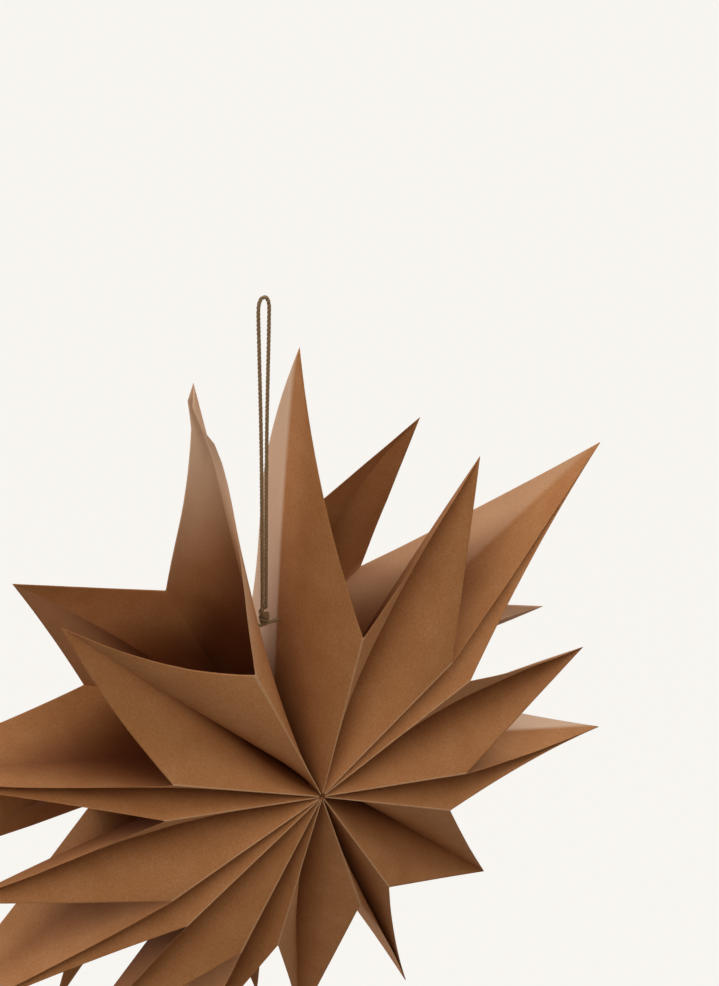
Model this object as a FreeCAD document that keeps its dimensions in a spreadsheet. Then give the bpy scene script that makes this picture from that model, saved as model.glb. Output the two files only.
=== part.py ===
import FreeCAD, Part
import Sketcher
import math
import os

# A hanging star made from seven kraft paper bags, in millimetres, +Z up.
# The bags are glued flat side to flat side and fanned round an axis that runs along Y,
# with the front of the star at -Y. The origin is the seat of the twine loop it hangs by.

V = FreeCAD.Vector
ORDER = ["one", "two", "three", "four", "five", "six", "seven"]

doc = FreeCAD.newDocument("paper_bag_star")
sheet = doc.addObject("Spreadsheet::Sheet", "sizes")

sizes = [
    ("paper_thickness", 0.3, "one layer of kraft paper, with its glue and creases"),
    ("bag_width", 120, "flat width of a bag, the depth of the star"),
    ("gusset_width", 88, "one side fold of a bag, both halves"),
    ("fold_reach", 121, "length of a bag's edge from the hub to the slanted cut"),
    ("tip_reach", 302, "hub axis to the point of a flat side"),
    ("gusset_reach", 245, "hub axis to the point of a side fold"),
    ("hub_radius", 2.7, "hub axis to the closed bottom of each bag"),
    ("glue_gap", 0.3, "between two glued flat sides along their middle line"),
    ("fold_gap", 0.08, "between the two layers pressed together at a fold"),
    ("crease_slot", 0.16, "width of the pressed crease of a side fold"),
    ("start_direction", 86.8, "middle line of the first flat side, from +X"),
    ("left_pull", 12, "how far the tie draws the last flat side towards the twine"),
    ("right_pull", 6, "how far the tie draws the first flat side towards the twine"),
    ("twine_diameter", 2.5, "jute twine"),
    ("hook_diameter", 5, "hook that the twine loop hangs on"),
    ("strand_gap", 0.3, "between the two strands where they run side by side"),
    ("strand_seat_gap", 0.3, "between the two strands and the top of the knot"),
    ("hub_drop", 340, "loop seat down to the hub axis"),
    ("hub_shift", 9, "twine to the hub axis, along X"),
    ("part_drop", 114, "loop seat down to where the two strands part"),
    ("knot_width", 7.2, "knot over the tied flat sides"),
    ("knot_height", 15, "knot over the tied flat sides"),
    ("tie_height", 105, "tie above the hub axis"),
    ("knot_rise", 8, "middle of the knot above the tie"),
    ("stopper_diameter", 6.5, "overhand knot at each end of the tie"),
    ("stopper_gap", 0.3, "between an end knot and the paper it bears on"),
    ("hole_clearance", 0.3, "round the twine in the punched holes"),
]

# One row for each bag, in the order they were glued, clockwise. Degrees first.
# opening: between its two middle lines; flare: a folded edge from the middle line beside it;
# lean: the side folds' points from halfway between the folded edges.
bag_angles = [
    # opening, first flare, second flare, lean
    (54.4, 10.3, 3.2, 2.1),
    (51.4, 9.0, 4.5, -2.8),
    (48.3, 10.0, 5.1, -0.4),
    (42.5, 5.5, 4.0, 1.1),
    (45.2, 9.6, 7.5, -2.5),
    (43.7, 5.9, 3.8, -2.3),
    (61.0, 8.4, 11.9, -0.3),
]
# How deep the points of the two side folds lie behind the bag's edges, in millimetres.
point_depths = [
    # front, back
    (24, 34),
    (38, 27),
    (40, 30),
    (38, 30),
    (35, 30),
    (28, 30),
    (24, 33),
]
angle_words = ["opening", "first_flare", "second_flare", "tip_lean"]
depth_words = ["front_depth", "back_depth"]
for order, angles, depths in zip(ORDER, bag_angles, point_depths):
    for word, value in zip(angle_words + depth_words, angles + depths):
        sizes.append((word + "_" + order, value, "bag " + order))

for number, (alias, value, note) in enumerate(sizes, start=1):
    sheet.set("A" + str(number), note)
    sheet.set("B" + str(number), str(value))
    sheet.setAlias("B" + str(number), alias)
doc.recompute()


def size(alias):
    return float(sheet.getPropertyByName(alias))


thickness = size("paper_thickness")
width = size("bag_width")
gusset_half = size("gusset_width") / 2
fold_reach = size("fold_reach")
tip_reach = size("tip_reach")
gusset_reach = size("gusset_reach")
hub_radius = size("hub_radius")
glue_half = size("glue_gap") / 2
fold_inset = 2 * thickness + size("fold_gap")
slot_half = size("crease_slot") / 2
hub = V(size("hub_shift"), 0, -size("hub_drop"))
front = -width / 2
back = width / 2


def on_rail(rail, along):
    # Point and direction of a rail, a quadratic curve from the hub to the cut edge.
    a, b, c = rail
    point = a * (1 - along) ** 2 + b * (2 * along * (1 - along)) + c * along**2
    direction = (b - a) * (1 - along) + (c - b) * along
    return point, direction.normalize()


def straight(start, end):
    return [start, (start + end) * 0.5, end]


def inward(rails, place, along, sign):
    # Mitred inward offset, per unit of thickness, of one rail of the closed ring.
    here, direction = on_rail(rails[place], along)
    before, _ = on_rail(rails[place - 1], along)
    after, _ = on_rail(rails[(place + 1) % len(rails)], along)
    one = (here - before).cross(direction).normalize()
    two = (after - here).cross(direction).normalize()
    return (one + two) * (sign / (1 + one.dot(two)))


def patch(rows):
    # Bezier face through a net of points.
    surface = Part.BezierSurface()
    surface.increase(len(rows) - 1, len(rows[0]) - 1)
    for i, row in enumerate(rows, start=1):
        for j, point in enumerate(row, start=1):
            surface.setPole(i, j, point)
    return surface.toShape()


def paper_bag(first_line, order, pulls):
    # One folded sheet: two flat sides, two side folds and a closed bottom at the hub.
    opening = size("opening_" + order)
    half = math.radians(opening / 2)
    middle = math.radians(first_line - opening / 2)
    out = V(math.cos(middle), 0, math.sin(middle))
    across = V(-math.sin(middle), 0, math.cos(middle))
    start_across = hub_radius * math.tan(half) - glue_half / math.cos(half)

    def place(reach, angle, depth, shift=0.0):
        # Reach and angle from the bag's own middle, with a shift square to that angle.
        line = out * math.cos(angle) + across * math.sin(angle)
        side = across * math.cos(angle) - out * math.sin(angle)
        return hub + line * reach + side * shift + V(0, depth, 0)

    def at_hub(side, depth):
        return hub + out * hub_radius + across * side + V(0, depth, 0)

    def side_rails(sign, flare, edge, pull):
        # Middle line, bulge line and doubled folded edge of half a flat side.
        fold_angle = sign * (half - math.radians(flare))
        shift = -sign * glue_half
        drawn = (across * math.cos(half) - out * math.sin(half) * sign) * (sign * pull)
        centre = straight(at_hub(sign * start_across, 0), place(tip_reach, sign * half, 0, shift))
        centre[1] = centre[1] + drawn
        shoulder = place(fold_reach, fold_angle, edge)
        bulge_tip = place((tip_reach + fold_reach) / 2, sign * half, edge / 2, shift)
        bulge = straight(at_hub(sign * start_across, edge / 2), bulge_tip)
        bulge[1] = bulge[1] + drawn
        outer = straight(at_hub(sign * start_across, edge), shoulder)
        inset = across * (-sign * fold_inset)
        inner = [point + inset for point in outer]
        return centre, bulge, outer, inner, fold_angle

    first_flare = size("first_flare_" + order)
    second_flare = size("second_flare_" + order)
    lean = math.radians(size("tip_lean_" + order))
    first = side_rails(1, first_flare, front, pulls[0])
    second = side_rails(-1, second_flare, front, pulls[1])
    first_back = side_rails(1, first_flare, back, pulls[0])
    second_back = side_rails(-1, second_flare, back, pulls[1])
    between = (first[4] + second[4]) / 2
    spread = (first[4] - second[4]) / 2
    chord = fold_reach * math.sin(spread)

    # The crease starts half a side fold deep at the hub. The opened bag draws it flatter at the
    # folded edges' ends, and it leans back in towards its point.
    flat = math.sqrt(max(gusset_half**2 - chord**2, (gusset_half / 5) ** 2))

    def crease(sign, edge, tip_depth):
        inside = 1 if edge < 0 else -1
        start = at_hub(sign * slot_half, edge + inside * gusset_half)
        end = place(gusset_reach, between + lean, edge + inside * tip_depth, sign * slot_half)
        level = 2 * flat - (gusset_half + tip_depth) / 2
        turned = place((hub_radius + gusset_reach) / 2, between + lean / 2, 0, sign * slot_half)
        control = V(turned.x, edge + inside * level, turned.z)
        return [start, control, end]

    front_depth = size("front_depth_" + order)
    back_depth = size("back_depth_" + order)
    ring = [
        (first[0], True),
        (first[1], False),
        (first[2], True),
        (first[3], True),
        (crease(1, front, front_depth), True),
        (crease(-1, front, front_depth), True),
        (second[3], True),
        (second[2], True),
        (second[1], False),
        (second[0], True),
        (second_back[1], False),
        (second_back[2], True),
        (second_back[3], True),
        (crease(-1, back, back_depth), True),
        (crease(1, back, back_depth), True),
        (first_back[3], True),
        (first_back[2], True),
        (first_back[1], False),
    ]
    rails = [rail for rail, _ in ring]
    sign = 1 if inward(rails, 0, 0.5, 1).dot(across) < 0 else -1

    inner_rails = []
    for number, rail in enumerate(rails):
        start, direction = on_rail(rail, 0)
        start = start + inward(rails, number, 0, sign) * thickness
        rise = hub_radius + thickness - (start - hub).dot(out)
        start = start + direction * (rise / direction.dot(out))
        half_way = on_rail(rail, 0.5)[0] + inward(rails, number, 0.5, sign) * thickness
        end = rail[2] + inward(rails, number, 1, sign) * thickness
        inner_rails.append([start, half_way * 2 - (start + end) * 0.5, end])

    faces = []
    kept = [number for number, (_, on_sheet) in enumerate(ring) if on_sheet]
    for here, there in zip(kept, kept[1:] + [len(ring)]):
        span = [number % len(ring) for number in range(here, there + 1)]
        for layer in (rails, inner_rails):
            faces.append(patch([[layer[number][row] for number in span] for row in range(3)]))
        faces.append(patch([[layer[number][2] for number in span] for layer in (rails, inner_rails)]))
    for layer in (rails, inner_rails):
        outline = []
        for here, there in zip(kept, kept[1:] + [len(ring)]):
            curve = Part.BezierCurve()
            curve.setPoles([layer[number % len(ring)][0] for number in range(here, there + 1)])
            outline.append(curve.toShape())
        faces.append(Part.Face(Part.Wire(outline)))

    sewn = Part.Compound(faces)
    sewn.sewShape(0.001)
    solid = Part.Solid(sewn.Shells[0])
    if solid.Volume < 0:
        solid.reverse()
    return solid


# The tie runs straight across the gap, through the middle of the last and the first flat side.
twine_radius = size("twine_diameter") / 2
tie_height = size("tie_height")
tie_level = -size("hub_drop") + tie_height
start_direction = size("start_direction")
hole_radius = twine_radius + size("hole_clearance")
right_pull = size("right_pull")
left_pull = size("left_pull")

bags = []
line = start_direction
for number, order in enumerate(ORDER, start=1):
    pulls = (right_pull if number == 1 else 0, left_pull if number == len(ORDER) else 0)
    bags.append(paper_bag(line, order, pulls))
    line -= size("opening_" + order)
last_direction = line + 360


def tied_side(direction, pull, sign):
    # Where the tie crosses a flat side, and how far inside the paper its end knot's middle lies.
    angle = math.radians(direction)
    along = tie_height / math.sin(angle) / tip_reach
    drawn = 2 * along * (1 - along) * pull + glue_half
    crossing = hub.x + tie_height / math.tan(angle) - sign * drawn
    inside = (thickness + size("stopper_gap") + size("stopper_diameter") / 2) / math.sin(angle)
    return crossing, crossing + sign * inside


right_x, tie_end = tied_side(start_direction, right_pull, 1)
left_x, tie_start = tied_side(last_direction, left_pull, -1)
drill = Part.makeCylinder(hole_radius, tie_end - tie_start, V(tie_start, 0, tie_level), V(1, 0, 0))
bags[0] = bags[0].cut(drill).Solids[0]
bags[-1] = bags[-1].cut(drill).Solids[0]

parts = []
for number, solid in enumerate(bags, start=1):
    bag = doc.addObject("Part::Feature", "paper_bag_" + str(number))
    bag.Label = "paper_bag_" + str(number)
    bag.Shape = solid
    bag.Placement = FreeCAD.Placement()
    parts.append(bag)

# The twine is doubled. It stands on the knot, goes up as two strands side by side, parts, and
# turns round the hook. Only its small turns and the turn round the hook are curved.
strand_x = twine_radius + size("strand_gap") / 2
hook_turn = size("hook_diameter") / 2 + twine_radius
turn_level = -size("hook_diameter") / 2
part_level = -size("part_drop")
knot_top = tie_level + size("knot_rise") + size("knot_height") / 2
twine_foot = knot_top - size("knot_height") * 0.1 + size("strand_seat_gap")
rise = turn_level - part_level
apart = math.hypot(strand_x, rise)
slant = math.asin(hook_turn / apart) - math.atan(strand_x / rise)
slant_run = math.sqrt(apart**2 - hook_turn**2)
upright_run = part_level - twine_foot
corner = 0.45 * min(slant_run, upright_run)
print("twine radii", round(corner / math.tan(slant / 2), 1), round(hook_turn, 2))


def half_route(sign):
    # One strand from its foot to the turn round the hook: upright, small turn, slanted.
    foot = V(sign * strand_x, twine_foot, 0)
    bend_low = V(sign * strand_x, part_level - corner, 0)
    bend_high = V(sign * (strand_x + corner * math.sin(slant)), part_level + corner * math.cos(slant), 0)
    radius = corner / math.tan(slant / 2)
    sag = radius * (1 - math.cos(slant / 2))
    bend_middle = (bend_low + bend_high) * 0.5
    square = V(-math.cos(slant / 2) * sign, math.sin(slant / 2), 0)
    bend_middle = bend_middle + square * sag
    top = V(sign * hook_turn * math.cos(slant), turn_level + hook_turn * math.sin(slant), 0)
    return [Part.LineSegment(foot, bend_low), Part.Arc(bend_low, bend_middle, bend_high), Part.LineSegment(bend_high, top)]


twine = doc.addObject("PartDesign::Body", "hanging_twine")
twine.Label = "hanging_twine"
planes = {feature.Role: feature for feature in twine.Origin.OriginFeatures}
route = twine.newObject("Sketcher::SketchObject", "twine_route")
route.AttachmentSupport = [(planes["XZ_Plane"], "")]
route.MapMode = "FlatFace"
left = half_route(-1)
right = half_route(1)
hook_arc = Part.Arc(left[2].EndPoint, V(0, turn_level + hook_turn, 0), right[2].EndPoint)
for piece in left + [hook_arc] + right[::-1]:
    route.addGeometry(piece, False)
section = twine.newObject("Sketcher::SketchObject", "twine_section")
section.AttachmentSupport = [(planes["XY_Plane"], "")]
section.MapMode = "FlatFace"
section.AttachmentOffset = FreeCAD.Placement(V(0, 0, twine_foot), FreeCAD.Rotation())
circle = section.addGeometry(Part.Circle(V(-strand_x, 0, 0), V(0, 0, 1), twine_radius), False)
radius_rule = section.addConstraint(Sketcher.Constraint("Radius", circle, twine_radius))
section.setExpression("Constraints[" + str(radius_rule) + "]", "sizes.twine_diameter / 2")
doc.recompute()
pipe = twine.newObject("PartDesign::AdditivePipe", "twine_pipe")
pipe.Profile = section
pipe.Spine = (route, ["Edge" + str(number) for number in range(1, 8)])
doc.recompute()
parts.append(twine)

# The knot sits over the tie, with its top cut level under the two strands.
knot = doc.addObject("Part::Ellipsoid", "knot")
knot.setExpression("Radius1", "sizes.knot_height / 2")
knot.setExpression("Radius2", "sizes.knot_width / 2")
knot.setExpression("Radius3", "sizes.knot_width / 2")
knot.Placement = FreeCAD.Placement(V(0, 0, 0), FreeCAD.Rotation())
knot.setExpression("Placement.Base.z", "-sizes.hub_drop + sizes.tie_height + sizes.knot_rise")
level = doc.addObject("Part::Box", "knot_level")
level.setExpression("Length", "sizes.knot_width * 2")
level.setExpression("Width", "sizes.knot_width * 2")
level.setExpression("Height", "sizes.knot_height")
level.Placement = FreeCAD.Placement(V(0, 0, 0), FreeCAD.Rotation())
level.setExpression("Placement.Base.x", "-sizes.knot_width")
level.setExpression("Placement.Base.y", "-sizes.knot_width")
level.setExpression("Placement.Base.z", "-sizes.hub_drop + sizes.tie_height + sizes.knot_rise + sizes.knot_height * 0.4")
knot_cut = doc.addObject("Part::Cut", "knot_cut")
knot_cut.Base = knot
knot_cut.Tool = level

# The short cross piece goes through both holes and ends in an overhand knot inside each bag.
cross = doc.addObject("Part::Cylinder", "cross_piece")
cross.setExpression("Radius", "sizes.twine_diameter / 2")
cross.Height = tie_end - tie_start
cross.Placement = FreeCAD.Placement(V(tie_start, 0, tie_level), FreeCAD.Rotation(V(0, 1, 0), 90))
stoppers = []
for name, end_x in (("left_stopper", tie_start), ("right_stopper", tie_end)):
    stopper = doc.addObject("Part::Sphere", name)
    stopper.setExpression("Radius", "sizes.stopper_diameter / 2")
    stopper.Placement = FreeCAD.Placement(V(end_x, 0, tie_level), FreeCAD.Rotation())
    stoppers.append(stopper)
tie = doc.addObject("Part::MultiFuse", "twine_tie")
tie.Label = "twine_tie"
tie.Shapes = [knot_cut, cross] + stoppers
doc.recompute()
parts.append(tie)

length = 2 * (upright_run - corner) + 2 * (slant_run - corner) + hook_turn * (math.pi - 2 * slant)
length += 2 * corner / math.tan(slant / 2) * slant
print("twine volume", round(twine.Shape.Volume, 1), "section by length", round(math.pi * twine_radius**2 * length, 1))

for item in doc.Objects:
    if "Invalid" in item.State or "Error" in item.State:
        raise RuntimeError("failed: " + item.Label)
for item in parts:
    if item.Shape.isNull() or not item.Shape.isValid():
        raise RuntimeError("bad shape: " + item.Label)
os.makedirs("parts", exist_ok=True)
for item in parts:
    print(item.Label, len(item.Shape.Solids), round(item.Shape.Volume, 1))
    item.Shape.exportStep("parts/" + item.Label + ".step")
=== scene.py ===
import math
import bpy
import bmesh
from mathutils import Matrix, Vector


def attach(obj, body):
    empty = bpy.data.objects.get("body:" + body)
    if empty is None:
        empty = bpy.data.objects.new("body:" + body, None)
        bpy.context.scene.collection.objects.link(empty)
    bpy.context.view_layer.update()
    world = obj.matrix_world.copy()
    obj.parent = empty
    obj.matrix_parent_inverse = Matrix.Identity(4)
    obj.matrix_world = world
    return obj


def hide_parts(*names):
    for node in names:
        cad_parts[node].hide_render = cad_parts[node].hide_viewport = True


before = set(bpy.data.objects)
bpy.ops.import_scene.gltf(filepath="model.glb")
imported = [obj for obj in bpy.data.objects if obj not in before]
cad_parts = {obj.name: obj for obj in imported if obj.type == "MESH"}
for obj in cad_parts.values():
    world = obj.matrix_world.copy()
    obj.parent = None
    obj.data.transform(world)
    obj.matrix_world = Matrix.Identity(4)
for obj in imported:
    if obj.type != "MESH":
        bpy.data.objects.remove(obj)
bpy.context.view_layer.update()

# The view of the hanging star: the camera stands to the left in front and well above its middle,
# looks down at it and leans a little, so that the star's near side faces left.
view = bpy.data.cameras.new("star_view")
view.lens = 76.9
view.sensor_width = 36.0
view.clip_end = 60.0
view_object = bpy.data.objects.new("star_view", view)
bpy.context.scene.collection.objects.link(view_object)
view_right = Vector((0.8459, -0.5328, 0.0230))
view_up = Vector((0.2675, 0.4614, 0.8459))
view_back = view_right.cross(view_up)
view_place = Vector((-0.5534, -0.9599, 0.5641))
view_object.matrix_world = Matrix((
    (view_right.x, view_up.x, view_back.x, view_place.x),
    (view_right.y, view_up.y, view_back.y, view_place.y),
    (view_right.z, view_up.z, view_back.z, view_place.z),
    (0.0, 0.0, 0.0, 1.0),
))
bpy.context.scene.camera = view_object

# The star hangs by one doubled length of jute twine, three soft yarns laid together. The two
# strands run up side by side from the knot, part, and turn round the hook.
strand_x = 0.0014
hook_turn = 0.00375
twine_foot = -0.2207
route_points = [
    (-strand_x, 0.0, twine_foot),
    (-strand_x, 0.0, -0.1140),
    (-0.0036, 0.0, -0.0175),
    (-hook_turn, 0.0, 0.00125),
    (hook_turn, 0.0, 0.00125),
    (0.0036, 0.0, -0.0175),
    (strand_x, 0.0, -0.1140),
    (strand_x, 0.0, twine_foot),
]


def smooth_route(name, points):
    # One soft line through the air: the points are its control points.
    curve = bpy.data.curves.new(name, "CURVE")
    curve.dimensions = "3D"
    spline = curve.splines.new("NURBS")
    spline.points.add(len(points) - 1)
    for target, point in zip(spline.points, points):
        target.co = (*point, 1.0)
    spline.order_u = 3
    spline.use_endpoint_u = True
    spline.resolution_u = 24
    route = bpy.data.objects.new(name, curve)
    bpy.context.scene.collection.objects.link(route)
    return route


def add_node(tree, kind, **settings):
    node = tree.nodes.new(kind)
    for key, value in settings.items():
        setattr(node, key, value)
    return node


def join(tree, source, target):
    tree.links.new(source, target)


def calculate(tree, operation, first, second=None, third=None):
    node = tree.nodes.new("ShaderNodeMath")
    node.operation = operation
    for place, value in enumerate((first, second, third)):
        if value is None:
            continue
        if isinstance(value, (int, float)):
            node.inputs[place].default_value = value
        else:
            tree.links.new(value, node.inputs[place])
    return node.outputs[0]


def new_tree(name, inputs):
    # An empty node tree for shapes, with named inputs.
    tree = bpy.data.node_groups.new(name, "GeometryNodeTree")
    tree.interface.new_socket("Geometry", in_out="INPUT", socket_type="NodeSocketGeometry")
    for label, kind, value in inputs:
        socket = tree.interface.new_socket(label, in_out="INPUT", socket_type=kind)
        if value is not None:
            socket.default_value = value
    tree.interface.new_socket("Geometry", in_out="OUTPUT", socket_type="NodeSocketGeometry")
    return tree, tree.nodes.new("NodeGroupInput"), tree.nodes.new("NodeGroupOutput")


def run_tree(piece, tree, values):
    # Runs a tree on a piece and keeps the plain mesh that comes out.
    modifier = piece.modifiers.new(tree.name, "NODES")
    modifier.node_group = tree
    for item in tree.interface.items_tree:
        if item.item_type == "SOCKET" and item.in_out == "INPUT" and item.name in values:
            modifier[item.identifier] = values[item.name]
    bpy.context.view_layer.update()
    shaped = piece.evaluated_get(bpy.context.evaluated_depsgraph_get())
    mesh = bpy.data.meshes.new_from_object(shaped, depsgraph=bpy.context.evaluated_depsgraph_get())
    mesh.name = piece.name
    made = bpy.data.objects.new(piece.name + "_made", mesh)
    bpy.context.scene.collection.objects.link(made)
    name = piece.name
    bpy.data.objects.remove(piece)
    made.name = name
    return made


# Three yarns wound round the route, each a round bundle with its fibres running along it.
twine_tree, given, result = new_tree("laid_twine", [
    ("Yarns", "NodeSocketInt", 3),
    ("Lay Radius", "NodeSocketFloat", 0.0006),
    ("Yarn Radius", "NodeSocketFloat", 0.0006),
    ("Turns", "NodeSocketFloat", 130.0),
    ("Unevenness", "NodeSocketFloat", 0.12),
    ("Fibres", "NodeSocketFloat", 60000.0),
    ("Fibre Length", "NodeSocketFloat", 0.0016),
    ("Seed", "NodeSocketInt", 3),
    ("Jute", "NodeSocketMaterial", None),
])
spaced = add_node(twine_tree, "GeometryNodeResampleCurve", mode="LENGTH")
spaced.inputs["Length"].default_value = 0.00045
join(twine_tree, given.outputs["Geometry"], spaced.inputs["Curve"])
copies = add_node(twine_tree, "GeometryNodeDuplicateElements", domain="SPLINE")
join(twine_tree, spaced.outputs[0], copies.inputs["Geometry"])
join(twine_tree, given.outputs["Yarns"], copies.inputs["Amount"])
run = add_node(twine_tree, "GeometryNodeSplineParameter")
turned = calculate(twine_tree, "MULTIPLY", run.outputs["Length"], given.outputs["Turns"])
phase = calculate(twine_tree, "DIVIDE", copies.outputs["Duplicate Index"], given.outputs["Yarns"])
angle = calculate(twine_tree, "MULTIPLY", calculate(twine_tree, "ADD", turned, phase), 2 * math.pi)
tangent = add_node(twine_tree, "GeometryNodeInputTangent")
normal = add_node(twine_tree, "GeometryNodeInputNormal")
square = add_node(twine_tree, "ShaderNodeVectorMath", operation="CROSS_PRODUCT")
join(twine_tree, tangent.outputs[0], square.inputs[0])
join(twine_tree, normal.outputs[0], square.inputs[1])
one_way = add_node(twine_tree, "ShaderNodeVectorMath", operation="SCALE")
join(twine_tree, normal.outputs[0], one_way.inputs[0])
join(twine_tree, calculate(twine_tree, "COSINE", angle), one_way.inputs["Scale"])
other_way = add_node(twine_tree, "ShaderNodeVectorMath", operation="SCALE")
join(twine_tree, square.outputs[0], other_way.inputs[0])
join(twine_tree, calculate(twine_tree, "SINE", angle), other_way.inputs["Scale"])
around = add_node(twine_tree, "ShaderNodeVectorMath", operation="ADD")
join(twine_tree, one_way.outputs[0], around.inputs[0])
join(twine_tree, other_way.outputs[0], around.inputs[1])
outward = add_node(twine_tree, "ShaderNodeVectorMath", operation="SCALE")
join(twine_tree, around.outputs[0], outward.inputs[0])
join(twine_tree, given.outputs["Lay Radius"], outward.inputs["Scale"])
laid = add_node(twine_tree, "GeometryNodeSetPosition")
join(twine_tree, copies.outputs["Geometry"], laid.inputs["Geometry"])
join(twine_tree, outward.outputs[0], laid.inputs["Offset"])
uneven = add_node(twine_tree, "ShaderNodeTexNoise", noise_dimensions="3D")
uneven.inputs["Scale"].default_value = 330.0
join(twine_tree, add_node(twine_tree, "GeometryNodeInputPosition").outputs[0], uneven.inputs["Vector"])
thicker = calculate(twine_tree, "SUBTRACT", uneven.outputs[0], 0.5)
swell = calculate(twine_tree, "MULTIPLY_ADD", thicker, given.outputs["Unevenness"], 1.0)
sized = add_node(twine_tree, "GeometryNodeSetCurveRadius")
join(twine_tree, laid.outputs[0], sized.inputs["Curve"])
join(twine_tree, swell, sized.inputs["Radius"])
along_run = add_node(twine_tree, "GeometryNodeCaptureAttribute", domain="POINT")
along_run.capture_items.new("FLOAT", "Along")
join(twine_tree, sized.outputs[0], along_run.inputs["Geometry"])
run_length = add_node(twine_tree, "GeometryNodeSplineParameter").outputs["Length"]
join(twine_tree, run_length, along_run.inputs[1])
ring = add_node(twine_tree, "GeometryNodeCurvePrimitiveCircle", mode="RADIUS")
ring.inputs["Resolution"].default_value = 8
join(twine_tree, given.outputs["Yarn Radius"], ring.inputs["Radius"])
round_ring = add_node(twine_tree, "GeometryNodeCaptureAttribute", domain="POINT")
round_ring.capture_items.new("FLOAT", "Around")
join(twine_tree, ring.outputs[0], round_ring.inputs["Geometry"])
ring_share = add_node(twine_tree, "GeometryNodeSplineParameter").outputs["Factor"]
join(twine_tree, ring_share, round_ring.inputs[1])
tube = add_node(twine_tree, "GeometryNodeCurveToMesh")
tube.inputs["Fill Caps"].default_value = True
join(twine_tree, along_run.outputs["Geometry"], tube.inputs["Curve"])
join(twine_tree, round_ring.outputs["Geometry"], tube.inputs["Profile Curve"])
read_radius = add_node(twine_tree, "GeometryNodeInputRadius")
join(twine_tree, read_radius.outputs[0], tube.inputs["Scale"])
lengthwise = add_node(twine_tree, "ShaderNodeCombineXYZ")
join(twine_tree, along_run.outputs[1], lengthwise.inputs[0])
join(twine_tree, round_ring.outputs[1], lengthwise.inputs[1])
kept = add_node(twine_tree, "GeometryNodeStoreNamedAttribute", data_type="FLOAT2", domain="CORNER")
kept.inputs["Name"].default_value = "yarn"
join(twine_tree, tube.outputs[0], kept.inputs["Geometry"])
join(twine_tree, lengthwise.outputs[0], kept.inputs["Value"])
# Loose fibres stand off the yarns.
seats = add_node(twine_tree, "GeometryNodeDistributePointsOnFaces", distribute_method="RANDOM")
join(twine_tree, kept.outputs[0], seats.inputs["Mesh"])
join(twine_tree, given.outputs["Fibres"], seats.inputs["Density"])
join(twine_tree, given.outputs["Seed"], seats.inputs["Seed"])
fibre = add_node(twine_tree, "GeometryNodeCurveQuadraticBezier")
fibre.inputs["Resolution"].default_value = 4
fibre.inputs["Start"].default_value = (0.0, 0.0, 0.0)
fibre.inputs["Middle"].default_value = (0.0, 0.35, 0.5)
fibre.inputs["End"].default_value = (0.25, 0.9, 0.35)
fibre_ring = add_node(twine_tree, "GeometryNodeCurvePrimitiveCircle", mode="RADIUS")
fibre_ring.inputs["Resolution"].default_value = 3
fibre_ring.inputs["Radius"].default_value = 0.022
fibre_tube = add_node(twine_tree, "GeometryNodeCurveToMesh")
join(twine_tree, fibre.outputs[0], fibre_tube.inputs["Curve"])
join(twine_tree, fibre_ring.outputs[0], fibre_tube.inputs["Profile Curve"])
turn = add_node(twine_tree, "FunctionNodeRandomValue", data_type="FLOAT_VECTOR")
turn.inputs[0].default_value = (-0.9, -0.9, -3.1)
turn.inputs[1].default_value = (0.9, 0.9, 3.1)
join(twine_tree, given.outputs["Seed"], turn.inputs["Seed"])
spin = add_node(twine_tree, "FunctionNodeRotateRotation", rotation_space="LOCAL")
join(twine_tree, seats.outputs["Rotation"], spin.inputs["Rotation"])
join(twine_tree, turn.outputs[0], spin.inputs["Rotate By"])
length_range = add_node(twine_tree, "FunctionNodeRandomValue", data_type="FLOAT")
length_range.inputs[2].default_value = 0.35
length_range.inputs[3].default_value = 1.0
join(twine_tree, given.outputs["Seed"], length_range.inputs["Seed"])
standing = add_node(twine_tree, "GeometryNodeInstanceOnPoints")
join(twine_tree, seats.outputs["Points"], standing.inputs["Points"])
join(twine_tree, fibre_tube.outputs[0], standing.inputs["Instance"])
join(twine_tree, spin.outputs[0], standing.inputs["Rotation"])
fibre_size = calculate(twine_tree, "MULTIPLY", length_range.outputs[1], given.outputs["Fibre Length"])
join(twine_tree, fibre_size, standing.inputs["Scale"])
everything = add_node(twine_tree, "GeometryNodeJoinGeometry")
join(twine_tree, standing.outputs[0], everything.inputs[0])
join(twine_tree, kept.outputs[0], everything.inputs[0])
real = add_node(twine_tree, "GeometryNodeRealizeInstances")
join(twine_tree, everything.outputs[0], real.inputs[0])
dressed = add_node(twine_tree, "GeometryNodeSetMaterial")
join(twine_tree, real.outputs[0], dressed.inputs["Geometry"])
join(twine_tree, given.outputs["Jute"], dressed.inputs["Material"])
join(twine_tree, dressed.outputs[0], result.inputs["Geometry"])

# Jute: dull straw brown, with darker grooves and pale single fibres along each yarn.
jute = bpy.data.materials.new("jute_twine")
jute.use_nodes = True
nodes = jute.node_tree
shader = nodes.nodes["Principled BSDF"]
shader.inputs["Roughness"].default_value = 0.85
shader.inputs["Specular IOR Level"].default_value = 0.25
yarn_uv = add_node(nodes, "ShaderNodeUVMap", uv_map="yarn")
stretch = add_node(nodes, "ShaderNodeMapping")
stretch.inputs["Scale"].default_value = (260.0, 9.0, 1.0)
join(nodes, yarn_uv.outputs[0], stretch.inputs["Vector"])
grain = add_node(nodes, "ShaderNodeTexNoise")
grain.inputs["Scale"].default_value = 1.6
grain.inputs["Detail"].default_value = 4.0
join(nodes, stretch.outputs[0], grain.inputs["Vector"])
tone = add_node(nodes, "ShaderNodeValToRGB")
tone.color_ramp.elements[0].position = 0.30
tone.color_ramp.elements[0].color = (0.170, 0.098, 0.042, 1.0)
tone.color_ramp.elements[1].position = 0.72
tone.color_ramp.elements[1].color = (0.430, 0.285, 0.145, 1.0)
join(nodes, grain.outputs[0], tone.inputs[0])
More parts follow.
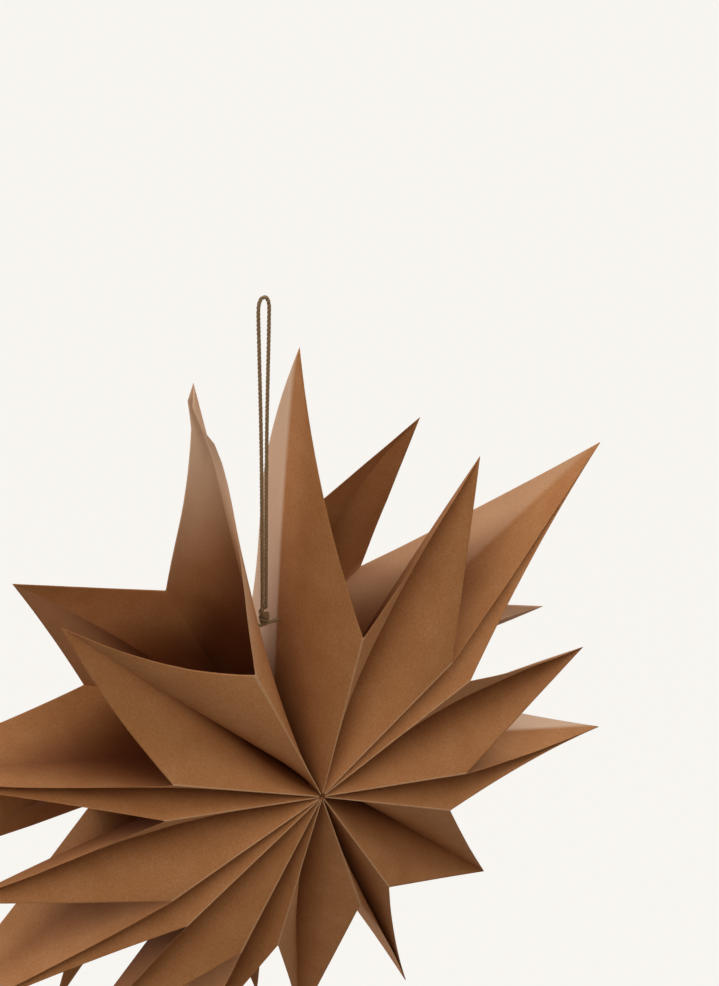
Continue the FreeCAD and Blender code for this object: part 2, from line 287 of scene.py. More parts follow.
join(nodes, tone.outputs[0], shader.inputs["Base Color"])
relief = add_node(nodes, "ShaderNodeBump")
relief.inputs["Strength"].default_value = 0.6
relief.inputs["Distance"].default_value = 0.0002
join(nodes, grain.outputs[0], relief.inputs["Height"])
join(nodes, relief.outputs[0], shader.inputs["Normal"])

hanging_route = smooth_route("hanging_route", route_points)
route_mesh = bpy.data.meshes.new_from_object(hanging_route)
bpy.data.meshes.remove(route_mesh)
hanging_route.name = "hanging_twine_strands"
hanging_strands = run_tree(hanging_route, twine_tree, {
    "Yarns": 3, "Lay Radius": 0.00050, "Yarn Radius": 0.00073, "Turns": 115.0,
    "Unevenness": 0.4, "Fibres": 60000.0, "Fibre Length": 0.0014, "Seed": 5, "Jute": jute,
})
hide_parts("hanging_twine")
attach(hanging_strands, "root")

# Below the two strands a fat overhand knot closes the twine, and a short cross piece of the same
# twine goes through the punched holes of the first and the last bag to a stopper knot in each.
tie_level = -0.2350
knot_middle = tie_level + 0.0075
knot_routes = [
    ("overhand_knot", [
        (-0.0014, 0.0002, knot_middle + 0.0060), (-0.0022, -0.0012, knot_middle + 0.0040),
        (-0.0010, -0.0024, knot_middle + 0.0020), (0.0018, -0.0020, knot_middle + 0.0012),
        (0.0026, 0.0006, knot_middle + 0.0004), (0.0006, 0.0024, knot_middle - 0.0006),
        (-0.0022, 0.0016, knot_middle - 0.0014), (-0.0026, -0.0010, knot_middle - 0.0022),
        (-0.0002, -0.0024, knot_middle - 0.0030), (0.0022, -0.0010, knot_middle - 0.0036),
        (0.0018, 0.0014, knot_middle - 0.0044), (-0.0006, 0.0016, knot_middle - 0.0052),
        (-0.0012, 0.0000, knot_middle - 0.0066),
    ]),
    ("knot_wrap", [
        (0.0014, -0.0002, knot_middle + 0.0060), (0.0020, 0.0016, knot_middle + 0.0044),
        (-0.0006, 0.0024, knot_middle + 0.0034), (-0.0026, 0.0008, knot_middle + 0.0022),
        (-0.0016, -0.0020, knot_middle + 0.0006), (0.0014, -0.0024, knot_middle - 0.0010),
        (0.0026, -0.0002, knot_middle - 0.0020), (0.0010, 0.0022, knot_middle - 0.0032),
        (-0.0016, 0.0018, knot_middle - 0.0046), (-0.0016, -0.0010, knot_middle - 0.0058),
        (0.0006, -0.0012, knot_middle - 0.0068),
    ]),
    ("cross_piece", [
        (-0.0092, 0.0, tie_level), (-0.0048, 0.0, tie_level + 0.0001),
        (0.0, -0.0002, tie_level + 0.0005), (0.0080, 0.0002, tie_level + 0.0002),
        (0.0120, 0.0, tie_level), (0.0165, 0.0, tie_level),
    ]),
]
stopper_radius = 0.0019
stopper_points = 15
for label, middle_x, way in (("left_stopper", -0.0088, -1.0), ("right_stopper", 0.0159, 1.0)):
    turns = []
    for step in range(stopper_points):
        bend = step * 0.95
        lift = math.sin(step * 0.5) * 0.0009
        turns.append((
            middle_x + way * (0.0010 * math.sin(bend * 0.55)),
            stopper_radius * math.cos(bend),
            tie_level + stopper_radius * math.sin(bend) + lift * 0.2,
        ))
    knot_routes.append((label, turns))
tie_pieces = []
for seed, (label, points) in enumerate(knot_routes):
    piece = run_tree(smooth_route(label, points), twine_tree, {
        "Yarns": 3, "Lay Radius": 0.00050, "Yarn Radius": 0.00070, "Turns": 115.0,
        "Unevenness": 0.4, "Fibres": 60000.0, "Fibre Length": 0.0013, "Seed": 20 + seed, "Jute": jute,
    })
    tie_pieces.append(piece)
for piece in tie_pieces:
    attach(piece, "root")
    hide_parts("twine_tie")

# Seven kraft paper bags. Each is one sheet folded flat with a side fold along both edges, cut to a
# point through all its layers, and glued to its neighbours along its two middle lines; opening the
# fan draws the side folds apart. Pressed folds are worn pale and also carry a painted highlight; the
# sheet buckles softly between. Its colour also holds painted shade in deep places and painted light
# on brightly lit parts.
hub_place = Vector((0.009, 0.0, -0.340))
bag_depth = 0.120
gusset_half = 0.044
hub_radius = 0.0027
glue_half = 0.00015
fold_inset = 0.00068
slot_half = 0.00008
# The middle lines between neighbours, with the free first and last one: direction in degrees,
# reach and level of the point, in mm.
middle_lines = [
    (86.8, 300.9, 1.8), (32.4, 305.0, -1.6), (-19.0, 301.3, 0.0), (-67.3, 301.7, 0.0),
    (-109.8, 302.0, 3.3), (-155.0, 300.5, 0.0), (-198.7, 302.0, -1.6), (-259.7, 300.9, 2.2),
]
# Each bag's corners as direction in degrees, reach and depth behind its edge in mm: the first and
# the second side's folded edge in front, the same at the back, then the front and back points.
bag_corners = [
    ((76.5, 121.6, 0.0), (35.6, 122.4, 0.0), (78.9, 120.1, 1.1), (36.6, 129.6, 0.3),
     (58.2, 245.9, 24.2), (59.1, 242.7, 34.0)),
    ((23.4, 126.6, 1.0), (-14.5, 120.8, 0.0), (20.7, 126.0, 0.6), (-12.7, 120.9, 0.3),
     (1.7, 242.7, 37.7), (1.6, 248.2, 26.3)),
    ((-29.0, 121.6, 1.2), (-62.2, 121.0, 0.4), (-29.0, 121.0, 0.0), (-62.2, 121.0, 0.0),
     (-46.0, 243.7, 40.0), (-46.0, 245.0, 30.0)),
    ((-72.8, 119.7, 3.1), (-105.8, 122.0, 0.7), (-72.8, 121.0, 0.0), (-105.8, 121.0, 0.0),
     (-88.2, 244.0, 38.3), (-90.2, 252.0, 34.0)),
    ((-119.4, 125.7, 0.0), (-147.5, 121.2, 0.0), (-117.0, 121.0, 0.0), (-147.5, 121.0, 0.0),
     (-136.0, 248.6, 35.3), (-131.0, 245.0, 30.0)),
    ((-160.9, 119.0, 0.0), (-194.9, 119.3, 0.0), (-157.3, 121.0, 0.0), (-194.9, 121.0, 0.0),
     (-180.2, 243.9, 27.8), (-176.5, 245.0, 30.0)),
    ((-207.1, 122.0, 0.7), (-247.8, 124.5, 5.0), (-206.6, 125.0, 0.0), (-246.0, 122.3, 1.8),
     (-227.7, 245.9, 24.2), (-226.3, 243.7, 32.6)),
]
# How fully each half side lies against its middle plane before it turns to its folded edge, in the
# order first front, second front, first back, second back; and how much the side folds' halves
# swell, front and back, as a share of their width.
lies_flat = {1: (1.0, 1.0, 0.1, 1.0), 7: (1.0, 0.35, 1.0, 0.2)}
swelling = {7: ((-0.15, 0.20), (0.05, 0.05))}
# Depth of each front crease halfway along, in mm. The last bag's own is shallow, because its
# swollen halves close its valley.
crease_depths = [38.0, 43.0, 42.0, 39.0, 43.0, 42.0, 23.0]

# Paper fibres, clouds, pressed folds worn pale with a painted highlight, painted shade deep between
# near walls and inside the bag towards the hub, and painted light on brightly lit parts, as one
# effect, used by the outside and the inside of the sheet.
paper_group = bpy.data.node_groups.new("kraft_fibres", "ShaderNodeTree")
paper_values = (("Fold Wear And Highlight", 0.5), ("Cloud Depth", 0.12), ("Nook Painted Shade", 0.9), ("Inside Painted Shade", 0.0))
for label, usual in paper_values:
    socket = paper_group.interface.new_socket(label, in_out="INPUT", socket_type="NodeSocketFloat")
    socket.default_value = usual
paper_group.interface.new_socket("Colour", in_out="OUTPUT", socket_type="NodeSocketColor")
paper_group.interface.new_socket("Height", in_out="OUTPUT", socket_type="NodeSocketFloat")
paper_group.interface.new_socket("Roughness", in_out="OUTPUT", socket_type="NodeSocketFloat")
g_in = paper_group.nodes.new("NodeGroupInput")
g_out = paper_group.nodes.new("NodeGroupOutput")
sheet_uv = add_node(paper_group, "ShaderNodeUVMap", uv_map="sheet")
in_paper = add_node(paper_group, "ShaderNodeTexCoord").outputs["Object"]


def paper_noise(scale, across, along, detail, rough=0.55):
    # Even noise in the paper, or noise stretched along the sheet's run by its UV map in metres.
    fit = add_node(paper_group, "ShaderNodeMapping")
    fit.inputs["Scale"].default_value = (across, along, across)
    join(paper_group, in_paper if across == along else sheet_uv.outputs[0], fit.inputs["Vector"])
    noise = add_node(paper_group, "ShaderNodeTexNoise")
    noise.inputs["Scale"].default_value = scale
    noise.inputs["Detail"].default_value = detail
    noise.inputs["Roughness"].default_value = rough
    join(paper_group, fit.outputs[0], noise.inputs["Vector"])
    return noise.outputs[0]


cloud = paper_noise(46.0, 1.0, 1.0, 3.0)
speck = paper_noise(620.0, 1.0, 1.0, 3.0, 0.65)
fibre_lines = paper_noise(520.0, 1.0, 0.22, 3.0, 0.6)
fleck = add_node(paper_group, "ShaderNodeMapRange", interpolation_type="SMOOTHSTEP")
fleck.inputs["From Min"].default_value = 0.66
fleck.inputs["From Max"].default_value = 0.76
join(paper_group, paper_noise(1100.0, 1.0, 1.0, 1.0), fleck.inputs["Value"])
mixed = calculate(paper_group, "SUBTRACT", cloud, 0.5)
mixed = calculate(paper_group, "MULTIPLY", mixed, g_in.outputs["Cloud Depth"])
for noise, weight in ((speck, 0.40), (fibre_lines, 0.05)):
    about_zero = calculate(paper_group, "SUBTRACT", noise, 0.5)
    mixed = calculate(paper_group, "MULTIPLY_ADD", about_zero, weight, mixed)
mixed = calculate(paper_group, "MULTIPLY_ADD", fleck.outputs[0], -0.30, mixed)
shade = calculate(paper_group, "ADD", mixed, 0.5)
ramp = add_node(paper_group, "ShaderNodeValToRGB")
ramp.color_ramp.elements[0].position = 0.22
ramp.color_ramp.elements[0].color = (0.330, 0.118, 0.032, 1.0)
ramp.color_ramp.elements[1].position = 0.80
ramp.color_ramp.elements[1].color = (0.590, 0.300, 0.130, 1.0)
middle_tone = ramp.color_ramp.elements.new(0.50)
middle_tone.color = (0.465, 0.196, 0.068, 1.0)
join(paper_group, shade, ramp.inputs[0])
# Pressed folds: a pale line along each fold, partly real wear and partly a painted highlight where the
# folded edge catches the light.
fold_distance = add_node(paper_group, "ShaderNodeAttribute", attribute_name="fold_distance")
near = add_node(paper_group, "ShaderNodeMapRange", interpolation_type="SMOOTHSTEP")
near.inputs["From Min"].default_value = 0.0001
near.inputs["From Max"].default_value = 0.0006
near.inputs["To Min"].default_value = 1.0
near.inputs["To Max"].default_value = 0.0
join(paper_group, fold_distance.outputs["Fac"], near.inputs["Value"])
fold_mark_noise = calculate(paper_group, "MULTIPLY_ADD", speck, 1.2, 0.2)
fold_wear_and_highlight = calculate(paper_group, "MULTIPLY", near.outputs[0], fold_mark_noise)
fold_wear_and_highlight = calculate(paper_group, "MULTIPLY", fold_wear_and_highlight, g_in.outputs["Fold Wear And Highlight"])
worn_and_lit_fold = add_node(paper_group, "ShaderNodeMix", data_type="RGBA")
worn_and_lit_fold.inputs[7].default_value = (0.64, 0.38, 0.20, 1.0)
join(paper_group, fold_wear_and_highlight, worn_and_lit_fold.inputs[0])
join(paper_group, ramp.outputs[0], worn_and_lit_fold.inputs[6])
# Painted shade: the paper is darkened and reddened where it lies deep between near walls, where little
# light reaches.
nook_shade_amount = add_node(paper_group, "ShaderNodeAttribute", attribute_name="nook")
nook_painted_shade = add_node(paper_group, "ShaderNodeMix", data_type="RGBA", blend_type="MULTIPLY")
nook_painted_shade.inputs[7].default_value = (0.40, 0.22, 0.10, 1.0)
nook_shade_share = calculate(paper_group, "MULTIPLY", nook_shade_amount.outputs["Fac"], g_in.outputs["Nook Painted Shade"])
join(paper_group, nook_shade_share, nook_painted_shade.inputs[0])
# Painted light: on chosen parts of the sheet that are brightly lit, the paper is painted paler.
painted_light_amount = add_node(paper_group, "ShaderNodeAttribute", attribute_name="painted_light")
pale = add_node(paper_group, "ShaderNodeMix", data_type="RGBA")
pale.inputs[7].default_value = (0.76, 0.50, 0.325, 1.0)
join(paper_group, painted_light_amount.outputs["Fac"], pale.inputs[0])
join(paper_group, worn_and_lit_fold.outputs[2], pale.inputs[6])
join(paper_group, pale.outputs[2], nook_painted_shade.inputs[6])
# Painted shade: the inside of the sheet is darkened from the mouth towards the hub, deep in the bag.
depth = add_node(paper_group, "ShaderNodeAttribute", attribute_name="depth")
bottom = add_node(paper_group, "ShaderNodeMapRange", interpolation_type="SMOOTHSTEP")
bottom.inputs["From Min"].default_value = 0.12
bottom.inputs["From Max"].default_value = 0.62
join(paper_group, depth.outputs["Fac"], bottom.inputs["Value"])
inside_painted_shade = add_node(paper_group, "ShaderNodeMix", data_type="RGBA", blend_type="MULTIPLY")
inside_painted_shade.inputs[7].default_value = (0.30, 0.18, 0.10, 1.0)
inside_shade_amount = calculate(paper_group, "MULTIPLY", bottom.outputs[0], g_in.outputs["Inside Painted Shade"])
join(paper_group, inside_shade_amount, inside_painted_shade.inputs[0])
join(paper_group, nook_painted_shade.outputs[2], inside_painted_shade.inputs[6])
join(paper_group, inside_painted_shade.outputs[2], g_out.inputs["Colour"])
speck_height = calculate(paper_group, "MULTIPLY", speck, 0.5)
height = calculate(paper_group, "MULTIPLY_ADD", fibre_lines, 0.6, speck_height)
join(paper_group, height, g_out.inputs["Height"])
join(paper_group, calculate(paper_group, "MULTIPLY_ADD", speck, -0.16, 0.80), g_out.inputs["Roughness"])

# The outside carries the pale fold lines with their painted highlight; the inside carries painted shade
# towards the hub.
paper_faces = []
for name, fold_mark_share, inside_shade_share in (("kraft_paper", 0.75, 0.0), ("kraft_inside", 0.0, 1.0)):
    kraft = bpy.data.materials.new(name)
    kraft.use_nodes = True
    nodes = kraft.node_tree
    shader = nodes.nodes["Principled BSDF"]
    shader.inputs["Specular IOR Level"].default_value = 0.2
    fibres = add_node(nodes, "ShaderNodeGroup", node_tree=paper_group)
    fibres.inputs["Fold Wear And Highlight"].default_value = fold_mark_share
    fibres.inputs["Cloud Depth"].default_value = 0.30
    fibres.inputs["Inside Painted Shade"].default_value = inside_shade_share
    join(nodes, fibres.outputs["Colour"], shader.inputs["Base Color"])
    join(nodes, fibres.outputs["Roughness"], shader.inputs["Roughness"])
    relief = add_node(nodes, "ShaderNodeBump")
    relief.inputs["Strength"].default_value = 0.35
    relief.inputs["Distance"].default_value = 0.00012
    join(nodes, fibres.outputs["Height"], relief.inputs["Height"])
    join(nodes, relief.outputs[0], shader.inputs["Normal"])
    paper_faces.append(kraft)

# Soft buckles square to the sheet, held at the folds and the glued lines by the slack value.
sheet_tree, given, result = new_tree("buckled_sheet", [
    ("Buckle Height", "NodeSocketFloat", 0.001),
    ("Buckle Size", "NodeSocketFloat", 0.05),
    ("Dent Height", "NodeSocketFloat", 0.0003),
    ("Seed", "NodeSocketFloat", 0.0),
    ("Kraft", "NodeSocketMaterial", None),
])
place = add_node(sheet_tree, "GeometryNodeInputPosition")


def buckles(divide):
    # Noise about zero, as wide as the buckle size over the given number.
    scaled = add_node(sheet_tree, "ShaderNodeTexNoise", noise_dimensions="4D")
    scaled.inputs["Detail"].default_value = 1.0
    join(sheet_tree, place.outputs[0], scaled.inputs["Vector"])
    join(sheet_tree, given.outputs["Seed"], scaled.inputs["W"])
    pitch = calculate(sheet_tree, "DIVIDE", divide, given.outputs["Buckle Size"])
    join(sheet_tree, pitch, scaled.inputs["Scale"])
    return calculate(sheet_tree, "SUBTRACT", scaled.outputs[0], 0.5)


wide = calculate(sheet_tree, "MULTIPLY", buckles(1.0), given.outputs["Buckle Height"])
fine = calculate(sheet_tree, "MULTIPLY", buckles(4.0), given.outputs["Dent Height"])
slack = add_node(sheet_tree, "GeometryNodeInputNamedAttribute", data_type="FLOAT")
slack.inputs["Name"].default_value = "slack"
lift = calculate(sheet_tree, "MULTIPLY", calculate(sheet_tree, "ADD", wide, fine), slack.outputs[0])
sheet_normal = add_node(sheet_tree, "GeometryNodeInputNormal")
shift = add_node(sheet_tree, "ShaderNodeVectorMath", operation="SCALE")
join(sheet_tree, sheet_normal.outputs[0], shift.inputs[0])
join(sheet_tree, lift, shift.inputs["Scale"])
moved = add_node(sheet_tree, "GeometryNodeSetPosition")
join(sheet_tree, given.outputs["Geometry"], moved.inputs["Geometry"])
join(sheet_tree, shift.outputs[0], moved.inputs["Offset"])
real = add_node(sheet_tree, "GeometryNodeRealizeInstances")
join(sheet_tree, moved.outputs[0], real.inputs[0])
papered = add_node(sheet_tree, "GeometryNodeSetMaterial")
join(sheet_tree, real.outputs[0], papered.inputs["Geometry"])
join(sheet_tree, given.outputs["Kraft"], papered.inputs["Material"])
join(sheet_tree, papered.outputs[0], result.inputs["Geometry"])


def on_rail(rail, t):
    # The place at t along a curved line with a start, a control point and an end.
    a, b, c = rail
    return a * (1 - t) ** 2 + b * (2 * t * (1 - t)) + c * t**2


side_steps = 14
gusset_steps = 11
rows = 64
for number, corners in enumerate(bag_corners, start=1):
    first_line, second_line = middle_lines[number - 1], middle_lines[number]
    half = math.radians((first_line[0] - second_line[0]) / 2)
    middle = math.radians((first_line[0] + second_line[0]) / 2)
    out = Vector((math.cos(middle), 0.0, math.sin(middle)))
    across = Vector((-math.sin(middle), 0.0, math.cos(middle)))
    start_across = hub_radius * math.tan(half) - glue_half / math.cos(half)
    flatness = lies_flat.get(number, (1.0, 1.0, 1.0, 1.0))
    swells = swelling.get(number, ((0.04, 0.04), (0.0, 0.0)))

    def spot(degrees, reach, level, aside=0.0):
        angle = math.radians(degrees)
        ray = Vector((math.cos(angle), 0.0, math.sin(angle)))
        side = Vector((-math.sin(angle), 0.0, math.cos(angle)))
        return hub_place + ray * (reach / 1000) + side * aside + Vector((0.0, level, 0.0))

    def at_hub(side, level):
        return hub_place + out * hub_radius + across * side + Vector((0.0, level, 0.0))

    # Rails from the hub to the cut: (front or back, side) -> middle, control and folded edge.
    halves = {}
    for face, edge in ((0, -bag_depth / 2), (1, bag_depth / 2)):
        for order, sign, line in ((0, 1, first_line), (1, -1, second_line)):
            corner = corners[order + 2 * face]
            level = edge + (corner[2] if face == 0 else -corner[2]) / 1000
            middle_tip = spot(line[0], line[1], line[2] / 1000, -sign * glue_half)
            shoulder = spot(corner[0], corner[1], level)
            start = at_hub(sign * start_across, 0.0)
            fold_start = at_hub(sign * start_across, edge)
            tangent_tip = spot(line[0], (line[1] + corner[1]) / 2, level / 2, -sign * glue_half)
            plain_tip = (middle_tip + shoulder) / 2
            flat_here = flatness[order + 2 * face]
            halves[(face, sign)] = {
                "middle": [start, (start + middle_tip) / 2, middle_tip],
                "control": [(start + fold_start) / 2, None, plain_tip.lerp(tangent_tip, flat_here)],
                "fold": [fold_start, (fold_start + shoulder) / 2, shoulder],
            }
            control = halves[(face, sign)]["control"]
            control[1] = (control[0] + control[2]) / 2
            fold = halves[(face, sign)]["fold"]
            halves[(face, sign)]["inset"] = [point - across * (sign * fold_inset) for point in fold]

    def drawn_by_tie(point, face, sign, v, t):
        # The tie draws the first bag's first side and the last bag's second side to the twine, and
        # the two free sheets bow towards it past their folded edges.
        line = first_line if sign == 1 else second_line
        angle = math.radians(line[0])
        side = Vector((math.sin(angle), 0.0, -math.cos(angle)))
        if (number, sign) == (1, 1):
            pull = -0.0046 * (4 * t * (1 - t)) ** 0.6 * (1 - v) ** 2
            bow = (-0.0010, -0.0095)[face] * 4 * v * (1 - v) * t * t
        elif (number, sign) == (7, -1):
            pull = 0.0030 * 9.48 * t * (1 - t) ** 3 * (1 - v) ** 2
            if face == 0:
                bow = 0.0050 * 28.9 * v**2 * (1 - v) ** 3 * t**3
            else:
                bow = 0.0027 * 64 * v**3 * (1 - v) ** 3 * t**6
            height, place_v, width_v = ((0.0075, 0.10, 0.08), (0.0045, 0.08, 0.07))[face]
            curl = height * math.exp(-(((v - place_v) / width_v) ** 2))
            bow = bow - curl * max(0.0, (t - 0.84) / 0.16)
        else:
            return point
        return point + side * (pull + bow)

    def crease(sign, face):
        # The line at the bottom of a side fold, from the hub to the lowest point of the cut.
        edge = (-bag_depth / 2, bag_depth / 2)[face]
        inside = (1.0, -1.0)[face]
        tip_degrees, tip_reach, tip_depth = corners[4 + face]
        spread = math.radians(corners[2 * face][0] - corners[1 + 2 * face][0]) / 2
        reach = (corners[2 * face][1] + corners[1 + 2 * face][1]) / 2000
        flat = math.sqrt(max(gusset_half**2 - (reach * math.sin(spread)) ** 2, (gusset_half / 5) ** 2))
        if face == 0:
            flat = crease_depths[number - 1] / 1000
        between = (corners[2 * face][0] + corners[1 + 2 * face][0]) / 2
        start = at_hub(sign * slot_half, edge + inside * gusset_half)
        end = spot(tip_degrees, tip_reach, edge + inside * tip_depth / 1000, sign * slot_half)
        level = 2 * flat - (gusset_half + tip_depth / 1000) / 2
        halfway = (hub_radius * 1000 + tip_reach) / 2
        turned = spot((tip_degrees + between) / 2, halfway, edge + inside * level, sign * slot_half)
        return [start, turned, end]

    # Columns run once round the open mouth: middle line, folded edge, crease and back again.
    columns = []

    def side_columns(face, sign, outward):
        rails = halves[(face, sign)]
        for step in (range(side_steps + 1) if outward else range(side_steps, -1, -1)):
            v = step / side_steps
            between = zip(rails["middle"], rails["control"], rails["fold"])
            line = [on_rail(points, v) for points in between]
            slack = math.sin(math.pi * v) ** 0.8 * v**1.5 if 0 < v < 1 else 0.0
            from_fold = (1 - v) * bag_depth / 2 + face * 0.0004
            columns.append((line, slack, from_fold, ("side", sign, face, v)))

    def gusset_columns(face, sign, inward):
        inset = halves[(face, sign)]["inset"]
        valley = crease(sign, face)
        for step in (range(1, gusset_steps + 1) if inward else range(gusset_steps, 0, -1)):
            v = step / gusset_steps
            line = [inset[k] * (1 - v) + valley[k] * v for k in range(3)]
            slack = math.sin(math.pi * v) ** 0.8 * (1 - v) ** 0.3 if v < 1 else 0.0
            columns.append((line, slack, v * gusset_half, ("gusset", sign, face, v, inset, valley)))

    def folded_edge(face, sign, leaving):
        fold, inset = halves[(face, sign)]["fold"], halves[(face, sign)]["inset"]
        away = Vector((0.0, (-0.0001, 0.0001)[face], 0.0))
        ridge = [(a + b) / 2 + away for a, b in zip(fold, inset)]
        pair = [(line, 0.0, face * 0.0004, ("side", sign, face, 1.0)) for line in (ridge, inset)]
        columns.extend(pair if leaving else reversed(pair))

    side_columns(0, 1, True)
    folded_edge(0, 1, True)
    gusset_columns(0, 1, True)
    gusset_columns(0, -1, False)
    folded_edge(0, -1, False)
    side_columns(0, -1, False)
    side_columns(1, -1, True)
    folded_edge(1, -1, True)
    gusset_columns(1, -1, True)
    gusset_columns(1, 1, False)
    folded_edge(1, 1, False)
    side_columns(1, 1, False)
    # The two middle lines are shared by the halves beside them.
    shared = []
    for column in columns:
        if shared and (on_rail(shared[-1][0], 1) - on_rail(column[0], 1)).length < 1e-7:
            continue
        shared.append(column)
    if (on_rail(shared[0][0], 1) - on_rail(shared[-1][0], 1)).length < 1e-7:
        shared.pop()
    columns = shared

    def placed(column, t):
        # A side's point is drawn by the tie; a side fold's halves swell outward between the folds.
        line, _, _, kind = column
        point = on_rail(line, t)
        if kind[0] == "side":
            return drawn_by_tie(point, kind[2], kind[1], kind[3], t)
        _, sign, face, v, inset, valley = kind
        ridge, root = on_rail(inset, t), on_rail(valley, t)
        wide = (ridge - root).dot(across) * sign
        deep = abs(ridge.y - root.y)
        length = math.hypot(wide, deep)
        outward = across * (-sign * deep / length) + Vector((0.0, (-1, 1)[face] * wide / length, 0.0))
        swell = swells[face][0 if sign == 1 else 1] * max(0.0, wide) * 4 * v * (1 - v)
        return point + outward * swell

    def nook(kind, t):
        # How deep a point lies between two near walls, from 0 in the open to 1; it sets how much painted
        # shade darkens the paper there.
        sign, face = kind[1], kind[2]
        if kind[0] == "gusset":
            ridge, root = on_rail(kind[4], t), on_rail(kind[5], t)
            wide = max(0.0004, abs((ridge - root).dot(across)))
            below = kind[3] * abs(ridge.y - root.y)
        else:
            rails = halves[(face, sign)]
            reach = on_rail(rails["fold"], t) - on_rail(rails["middle"], t)
            wide = max(0.0004, abs(reach.dot(across)))
            below = (1 - kind[3]) * bag_depth / 2
            if (number, sign) in ((1, 1), (7, -1)):
                wide = wide + 0.15 * t * bag_depth
        ratio = below / (wide + 0.002) * (1.7 if number == 7 else 1.0)
        return min(1.0, max(0.0, (ratio - 0.7) / 3.2))

    def painted_light(kind, t):
        # Painted light: where the sheet is painted paler because light falls brightly on it there: the
        # free sides by the twine, and two back folds.
        if kind[0] == "side" and kind[2] == 1 and (number, kind[1]) == (1, 1):
            return 0.9 * min(1.0, kind[3] * 60)
        if kind[0] == "side" and (number, kind[1]) == (7, -1):
            return 0.7 * min(1.0, max(0.0, (t * (1 - 0.4 * kind[3]) - 0.55) / 0.3))
        if kind[0] == "side" and kind[2] == 1 and (number, kind[1]) in ((1, -1), (2, -1)):
            return (0.3, 0.9)[number - 1]
        if kind[0] == "gusset" and kind[2] == 1 and (number, kind[1]) in ((2, 1), (2, -1), (7, 1)):
            return 0.2 if number == 7 else 0.5
        return 0.0

    sheet = bmesh.new()
    slack_layer = sheet.verts.layers.float.new("slack")
    fold_layer = sheet.verts.layers.float.new("fold_distance")
    nook_layer = sheet.verts.layers.float.new("nook")
    depth_layer = sheet.verts.layers.float.new("depth")
    painted_light_layer = sheet.verts.layers.float.new("painted_light")
    uv_layer = sheet.loops.layers.uv.new("sheet")
    grid = []
    for column in columns:
        rail = []
        for row in range(rows + 1):
            t = row / rows
            vertex = sheet.verts.new(placed(column, t))
            vertex[slack_layer] = column[1] * min(1.0, t * 3.0)
            vertex[fold_layer] = column[2]
            vertex[nook_layer] = nook(column[3], t)
            vertex[depth_layer] = 1 - t
            vertex[painted_light_layer] = painted_light(column[3], t)
            rail.append(vertex)
        grid.append(rail)
    flat_run = [[0.0] * (rows + 1)]
    for here, there in zip(grid, grid[1:] + grid[:1]):
        flat_run.append([far + (a.co - b.co).length for far, a, b in zip(flat_run[-1], here, there)])
    long_run = []
    for rail in grid:
        long_run.append([0.0])
        for here, there in zip(rail, rail[1:]):
            long_run[-1].append(long_run[-1][-1] + (here.co - there.co).length)
    count = len(grid)
    for column in range(count):
        following = (column + 1) % count
        for row in range(rows):
            near_rail, far_rail = grid[column], grid[following]
            face = sheet.faces.new((near_rail[row], near_rail[row + 1], far_rail[row + 1], far_rail[row]))
            face.smooth = True
            offsets = ((column, row), (column, row + 1), (column + 1, row + 1), (column + 1, row))
            for loop, (c, r) in zip(face.loops, offsets):
                loop[uv_layer].uv = (flat_run[c][r] + number * 0.7, long_run[c % count][r])
    for column, rail in zip(columns, grid):
        if column[3][3] in (0.0, 1.0):
            for here, there in zip(rail, rail[1:]):
                sheet.edges.get((here, there)).smooth = False
    # The bag's bottom closes the tube at the hub; then every face is turned to the outside.
    sheet.faces.new([grid[column][0] for column in range(count)])
    bmesh.ops.recalc_face_normals(sheet, faces=sheet.faces)
    sheet.faces.ensure_lookup_table()
    if sheet.faces[3 * rows + rows // 2].normal.dot(across) < 0:
        bmesh.ops.reverse_faces(sheet, faces=sheet.faces)
    mesh = bpy.data.meshes.new("bag_sheet_" + str(number))
    sheet.to_mesh(mesh)
    sheet.free()
    bag = bpy.data.objects.new("paper_bag_sheet_" + str(number), mesh)
    bpy.context.scene.collection.objects.link(bag)
    bag = run_tree(bag, sheet_tree, {
        "Buckle Height": 0.0030, "Buckle Size": 0.055, "Dent Height": 0.0005,
        "Seed": number * 3.7, "Kraft": paper_faces[0],
    })
    bag.data.materials.append(paper_faces[1])
    wall = bag.modifiers.new("paper_wall", "SOLIDIFY")
    wall.thickness = 0.00014
    wall.offset = -1.0
    wall.use_even_offset = False
    wall.material_offset = 1
    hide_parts("paper_bag_" + str(number))
    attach(bag, "root")

# A plain pale floor well below the star. To the eye it is the even off-white of the room; it
# keeps a trace of its own shade.
backdrop_tone = (0.955, 0.930, 0.888, 1.0)
floor_half = 30
floor_level = -1.30
floor_signs = ((-1, -1), (1, -1), (1, 1), (-1, 1))
floor_corners = [(x * floor_half, y * floor_half, floor_level) for x, y in floor_signs]
floor_mesh = bpy.data.meshes.new("floor")
floor_mesh.from_pydata(floor_corners, [], [(0, 1, 2, 3)])
floor = bpy.data.objects.new("floor", floor_mesh)
bpy.context.scene.collection.objects.link(floor)
floor_paint = bpy.data.materials.new("floor_paint")
floor_paint.use_nodes = True
nodes = floor_paint.node_tree
shader = nodes.nodes["Principled BSDF"]
shader.inputs["Base Color"].default_value = (0.55, 0.54, 0.52, 1.0)
shader.inputs["Roughness"].default_value = 0.9


def seen_share(tree):
    # 1 for what the camera sees, also by reflection or through something clear, else 0.
    paths = tree.nodes.new("ShaderNodeLightPath")
    direct = calculate(tree, "MAXIMUM", paths.outputs["Is Camera Ray"], paths.outputs["Is Glossy Ray"])
    return calculate(tree, "MAXIMUM", direct, paths.outputs["Is Transmission Ray"])


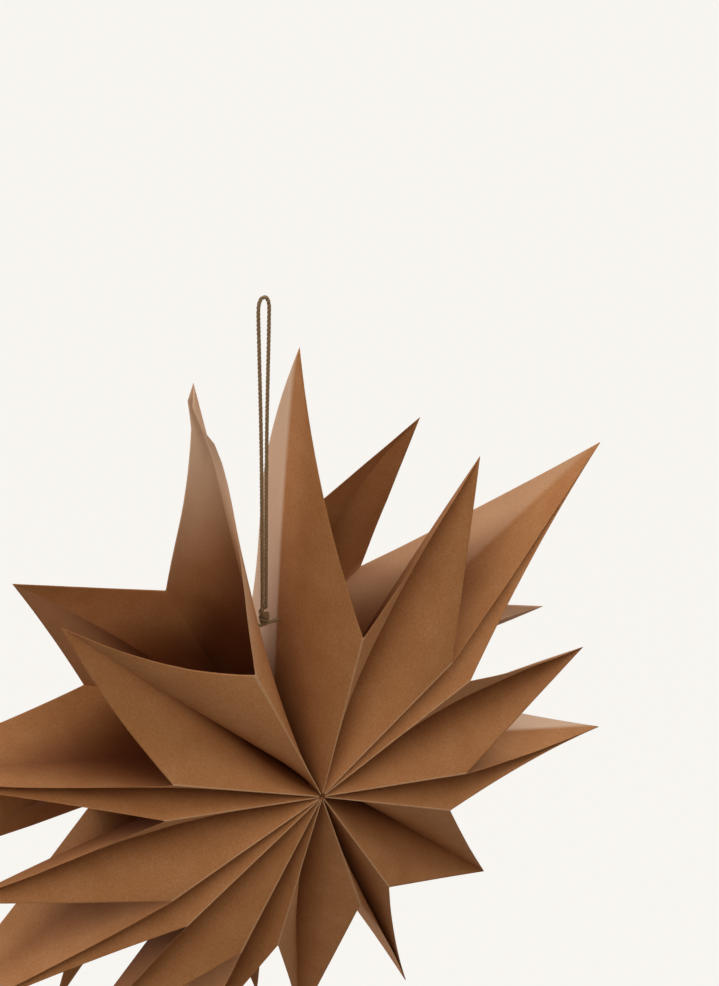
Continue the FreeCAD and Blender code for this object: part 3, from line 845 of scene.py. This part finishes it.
seen = seen_share(nodes)
glow = add_node(nodes, "ShaderNodeEmission")
glow.inputs["Color"].default_value = backdrop_tone
blend = add_node(nodes, "ShaderNodeMixShader")
join(nodes, calculate(nodes, "MULTIPLY", seen, 0.98), blend.inputs[0])
join(nodes, shader.outputs[0], blend.inputs[1])
join(nodes, glow.outputs[0], blend.inputs[2])
join(nodes, blend.outputs[0], nodes.nodes["Material Output"].inputs["Surface"])
floor.data.materials.append(floor_paint)

# Soft daylight from a window behind on the left and from high on the right, weaker light from the
# left and the front, and a little warm light from the room's air.
world = bpy.data.worlds.new("room")
bpy.context.scene.world = world
world.use_nodes = True
nodes = world.node_tree
air = nodes.nodes["Background"]
seen = seen_share(nodes)
air.inputs["Color"].default_value = (1.0, 0.82, 0.62, 1.0)
air.inputs["Strength"].default_value = 0.07
plain = add_node(nodes, "ShaderNodeBackground")
plain.inputs["Color"].default_value = backdrop_tone
mix = add_node(nodes, "ShaderNodeMixShader")
join(nodes, seen, mix.inputs[0])
join(nodes, air.outputs[0], mix.inputs[1])
join(nodes, plain.outputs[0], mix.inputs[2])
join(nodes, mix.outputs[0], nodes.nodes["World Output"].inputs["Surface"])


def soft_lamp(name, place, power, tone):
    # A round lamp that faces the middle of the star.
    lamp = bpy.data.lights.new(name, "AREA")
    lamp.shape = "DISK"
    lamp.size = 1.5
    lamp.energy = power
    lamp.color = tone
    holder = bpy.data.objects.new(name, lamp)
    holder.location = place
    aim = Vector((0.0, 0.0, -0.34)) - Vector(place)
    holder.rotation_euler = aim.to_track_quat("-Z", "Y").to_euler()
    bpy.context.scene.collection.objects.link(holder)


cool_tone = (0.98, 1.0, 1.06)
warm_tone = (1.0, 0.99, 0.97)
soft_lamp("window_behind", (-1.37, 1.37, 0.18), 20.0, cool_tone)
soft_lamp("high_right", (1.29, 0.0, 1.19), 20.0, cool_tone)
soft_lamp("high_back", (0.0, 1.29, 1.19), 1.5, cool_tone)
soft_lamp("high_left", (-0.91, -0.91, 1.19), 13.0, warm_tone)
soft_lamp("high_front", (0.0, -1.29, 1.19), 7.0, warm_tone)

bpy.context.scene.view_settings.view_transform = "Standard"
